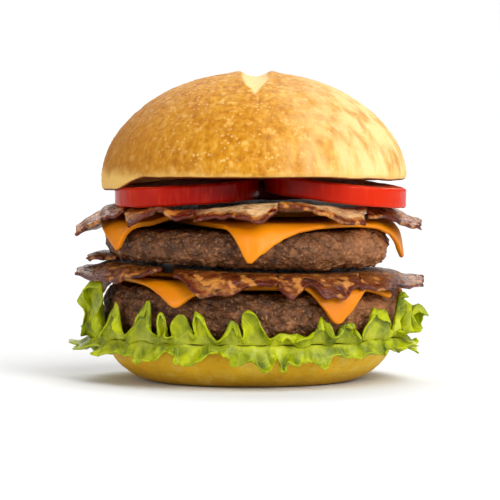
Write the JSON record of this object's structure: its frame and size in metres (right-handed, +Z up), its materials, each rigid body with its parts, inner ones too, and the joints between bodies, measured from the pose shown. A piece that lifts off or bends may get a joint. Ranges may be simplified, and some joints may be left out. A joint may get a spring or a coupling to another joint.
{
  "type": "bacon cheeseburger",
  "caption": "Stacked hamburger in a domed crusty roll, with beef patties, draped cheese slices, bacon strips, tomato slices and frilled lettuce.",
  "frame": {"origin": "middle of the flat foot of the bottom bun", "axes": "+Z up along the stack, -Y towards the pictured front, +X towards the right of the front view"},
  "size_m": [0.1303, 0.1199, 0.1086],
  "materials": {
    "crust": "baked crust, golden, satin",
    "pale_crust": "pale baked underside, matte",
    "meat": "coarse browned minced beef, slightly moist",
    "cheese": "smooth processed cheese, satin, slightly translucent",
    "bacon": "fried streaky bacon, greasy",
    "tomato": "wet skin and flesh, glossy",
    "leaf_green": "fresh leaf, satin, translucent"
  },
  "bodies": {
    "root": {"bun_bottom": "pale_crust", "lettuce_under": "leaf_green", "lettuce_over": "leaf_green", "patty_lower": "meat", "cheese_lower_under": "cheese", "cheese_lower_over": "cheese", "bacon_lower_left": "bacon", "bacon_lower_scrap": "bacon", "bacon_lower_front": "bacon", "bacon_lower_middle": "bacon", "bacon_lower_right": "bacon", "patty_upper": "meat", "cheese_upper_under": "cheese", "cheese_upper_over": "cheese", "bacon_upper_far_left": "bacon", "bacon_upper_left": "bacon", "bacon_upper_front": "bacon", "bacon_upper_middle": "bacon", "bacon_upper_far_right": "bacon", "tomato_left": "tomato", "tomato_right": "tomato", "tomato_back": "tomato", "bun_top": "crust"}
  },
  "joints": []
}
